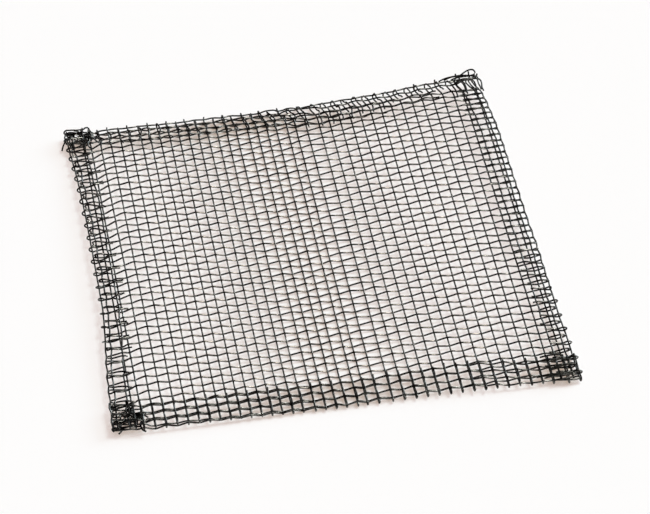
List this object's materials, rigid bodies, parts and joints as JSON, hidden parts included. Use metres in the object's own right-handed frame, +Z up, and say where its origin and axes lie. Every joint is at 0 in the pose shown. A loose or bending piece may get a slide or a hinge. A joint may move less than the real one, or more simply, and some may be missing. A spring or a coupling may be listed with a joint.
{
  "type": "wire gauze",
  "caption": "Square of plain woven iron wire gauze with all four edges folded over into hems, slightly curled up along two sides, to carry glassware over a flame.",
  "frame": {"origin": "under the middle of the sheet, on the surface that the gauze lies on", "axes": "+Z up through the sheet, with the folded layer of the hems on the +Z side; +X across the sheet towards the right side hem; +Y towards the far end hem"},
  "size_m": [0.127, 0.127, 0.0063],
  "materials": {
    "iron_wire": "dark annealed iron wire, dull with thin bright glints"
  },
  "bodies": {
    "root": {"wire_gauze": "iron_wire"}
  },
  "joints": []
}
